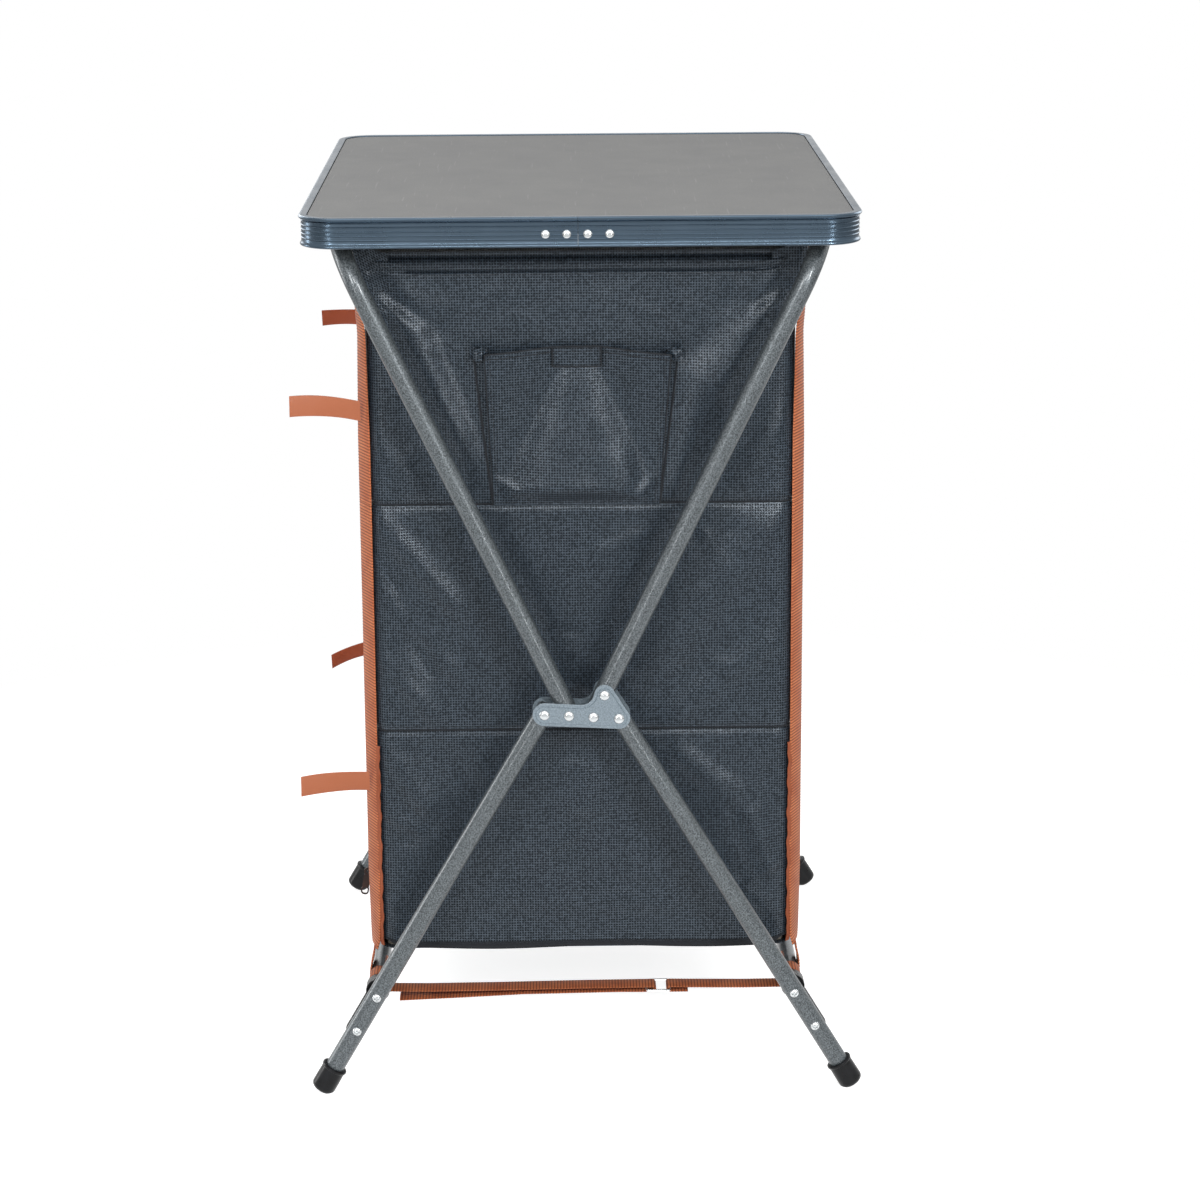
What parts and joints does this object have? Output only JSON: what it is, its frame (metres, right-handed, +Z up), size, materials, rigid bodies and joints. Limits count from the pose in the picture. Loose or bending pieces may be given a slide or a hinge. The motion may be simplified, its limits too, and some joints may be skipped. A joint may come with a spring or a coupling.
{
  "type": "folding cupboard",
  "caption": "Folding camp cupboard: lift-off table with a metal edge over a fabric cabinet with shelves and zipped doors, on crossed tube end frames that fold flat.",
  "frame": {"origin": "centre of the footprint at floor level", "axes": "+X along the table's long side towards the end with the outside pocket, -Y towards the doors, +Z up"},
  "size_m": [0.6, 0.522, 0.84],
  "materials": {
    "laminate": "matt grey laminate with a faint mottle",
    "anodised_band": "blue-grey anodised, ribbed",
    "coated_tube": "grey powder coat with a fine speckle",
    "hub_steel": "blue-grey coated pressing",
    "bright_rivet": "bright domed head",
    "black_plastic": "moulded satin black",
    "slate_fabric": "dark slate woven fabric",
    "shelf_panel": "thin pressed board",
    "orange_webbing": "ribbed burnt orange webbing",
    "rust_ribbon": "satin rust ribbon",
    "brown_pull": "dark brown pull tab",
    "chrome_buckle": "polished wire frame"
  },
  "bodies": {
    "rear_frame": {"rear_upper_frame": "coated_tube", "hub_plate_near_inner": "hub_steel", "hub_plate_near_outer": "hub_steel", "hub_plate_far_inner": "hub_steel", "hub_plate_far_outer": "hub_steel", "hub_rivet_leg_front_near": "bright_rivet", "hub_rivet_leg_front_far": "bright_rivet", "hub_rivet_upper_front_near": "bright_rivet", "hub_rivet_upper_front_far": "bright_rivet", "hub_rivet_upper_rear_near": "bright_rivet", "hub_rivet_upper_rear_far": "bright_rivet", "hub_rivet_leg_rear_near": "bright_rivet", "hub_rivet_leg_rear_far": "bright_rivet", "webbing_front_near": "orange_webbing", "webbing_front_far": "orange_webbing", "webbing_rear_near": "orange_webbing", "webbing_rear_far": "orange_webbing"},
    "front_frame": {"front_upper_frame": "coated_tube"},
    "front_legs": {"leg_front_near": "coated_tube", "leg_front_far": "coated_tube", "lower_bar_front": "coated_tube", "bar_connector_front_near": "black_plastic", "bar_connector_front_far": "black_plastic", "foot_cap_front_near": "black_plastic", "foot_cap_front_far": "black_plastic", "strap_front_near": "orange_webbing", "strap_front_far": "orange_webbing"},
    "rear_legs": {"leg_rear_near": "coated_tube", "leg_rear_far": "coated_tube", "lower_bar_rear": "coated_tube", "bar_connector_rear_near": "black_plastic", "bar_connector_rear_far": "black_plastic", "foot_cap_rear_near": "black_plastic", "foot_cap_rear_far": "black_plastic", "strap_rear_near": "orange_webbing", "strap_rear_far": "orange_webbing", "strap_buckle_near": "chrome_buckle", "strap_buckle_far": "chrome_buckle"},
    "tabletop": {"tabletop_board": "laminate", "table_edge_band": "anodised_band", "table_hook_near_front": "black_plastic", "table_hook_near_rear": "black_plastic", "table_hook_far_front": "black_plastic", "table_hook_far_rear": "black_plastic"},
    "tier_lower": {"shelf_board_lower": "shelf_panel", "cabinet_lower": "slate_fabric", "tie_lower_near": "rust_ribbon", "tie_lower_far": "rust_ribbon"},
    "tier_middle": {"shelf_board_middle": "shelf_panel", "cabinet_middle": "slate_fabric"},
    "tier_upper": {"shelf_board_upper": "shelf_panel", "cabinet_upper": "slate_fabric", "side_pocket": "slate_fabric", "tie_upper_near": "rust_ribbon", "tie_upper_far": "rust_ribbon"},
    "near_door": {"door_near": "slate_fabric"},
    "far_door": {"door_far": "slate_fabric"},
    "near_zip": {"zip_slider_near": "brown_pull"},
    "far_zip": {"zip_slider_far": "brown_pull"}
  },
  "joints": [
    {"name": "fold", "type": "hinge", "parent": "rear_frame", "child": "front_frame", "pos_m": [0, -0.014, 0.3745], "axis": [-1, 0, 0], "range_deg": [0, 50.54], "deforming": ["cabinet_lower", "cabinet_middle", "cabinet_upper", "side_pocket", "door_near", "door_far", "zip_slider_near", "zip_slider_far", "tie_lower_near", "tie_lower_far", "tie_upper_near", "tie_upper_far", "webbing_front_near", "webbing_front_far", "webbing_rear_near", "webbing_rear_far", "strap_front_near", "strap_front_far", "strap_rear_near", "strap_rear_far", "strap_buckle_near", "strap_buckle_far"]},
    {"name": "front_legs_pivot", "type": "hinge", "parent": "rear_frame", "child": "front_legs", "pos_m": [0, -0.0365, 0.3755], "axis": [-1, 0, 0], "range_deg": [0, 173.5]},
    {"name": "rear_legs_pivot", "type": "hinge", "parent": "rear_frame", "child": "rear_legs", "pos_m": [0, 0.032, 0.3715], "axis": [1, 0, 0], "range_deg": [0, 119.5]},
    {"name": "table_lift", "type": "slide", "parent": "rear_frame", "child": "tabletop", "axis": [0, 0, 1], "range_m": [0, 0.3]},
    {"name": "tier_lower_turn", "type": "hinge", "parent": "rear_frame", "child": "tier_lower", "pos_m": [0, -0.31797, 0.45564], "axis": [1, 0, 0], "range_deg": [0, 64.5]},
    {"name": "tier_middle_turn", "type": "hinge", "parent": "rear_frame", "child": "tier_middle", "pos_m": [0, -0.15182, 0.56039], "axis": [1, 0, 0], "range_deg": [0, 64.5]},
    {"name": "tier_upper_turn", "type": "hinge", "parent": "rear_frame", "child": "tier_upper", "pos_m": [0, 0.01472, 0.66539], "axis": [1, 0, 0], "range_deg": [0, 64.5]},
    {"name": "near_door_swing", "type": "hinge", "parent": "tier_middle", "child": "near_door", "pos_m": [0.186, -0.1983, 0.49], "axis": [0, 0, -1], "range_deg": [-90, 0]},
    {"name": "far_door_swing", "type": "hinge", "parent": "tier_middle", "child": "far_door", "pos_m": [-0.186, -0.1983, 0.49], "axis": [0, 0, 1], "range_deg": [-90, 0]},
    {"name": "near_zip_slide", "type": "slide", "parent": "tier_lower", "child": "near_zip", "axis": [-1, 0, 0], "range_m": [0, 0.175]},
    {"name": "far_zip_slide", "type": "slide", "parent": "tier_lower", "child": "far_zip", "axis": [1, 0, 0], "range_m": [0, 0.175]}
  ],
  "couplings": [
    {"joint": "front_legs_pivot", "follows": "fold", "ratio": 3.432},
    {"joint": "rear_legs_pivot", "follows": "fold", "ratio": 2.364},
    {"joint": "table_lift", "follows": "fold", "m_per_rad": 0.34},
    {"joint": "tier_lower_turn", "follows": "fold", "ratio": 1.2754},
    {"joint": "tier_middle_turn", "follows": "fold", "ratio": 1.2754},
    {"joint": "tier_upper_turn", "follows": "fold", "ratio": 1.2754}
  ]
}
